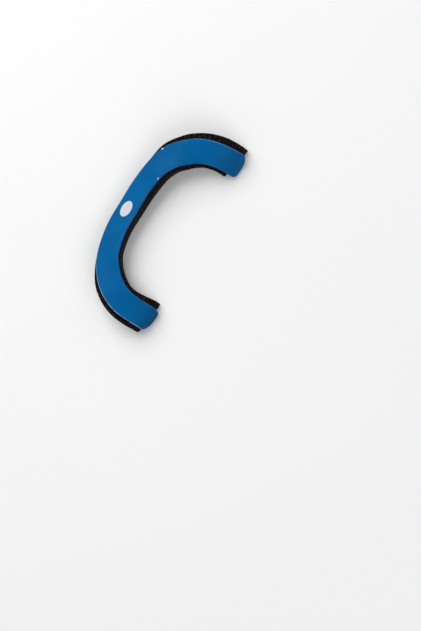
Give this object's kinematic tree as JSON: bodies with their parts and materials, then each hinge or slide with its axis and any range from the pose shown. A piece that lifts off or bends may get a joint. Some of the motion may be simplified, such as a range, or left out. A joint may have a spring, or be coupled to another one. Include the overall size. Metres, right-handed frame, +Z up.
{
  "type": "finger splint",
  "caption": "C-shaped finger splint: a bendable coated metal strip with rounded ends, backed by a wider fabric-faced foam pad, curved to lie along one side of a finger.",
  "frame": {"origin": "centre of the overall box, at the level the splint rests on with its pad down", "axes": "+Y along the finger towards its tip, +X across the finger towards the open side of the C, +Z up, away from the finger"},
  "size_m": [0.0274, 0.0648, 0.0091],
  "materials": {
    "coated_metal": "smooth satin blue coating",
    "faced_foam": "black knitted fabric faces on dark foam"
  },
  "bodies": {
    "root": {"splint_plate": "coated_metal", "foam_pad": "faced_foam"}
  },
  "joints": []
}
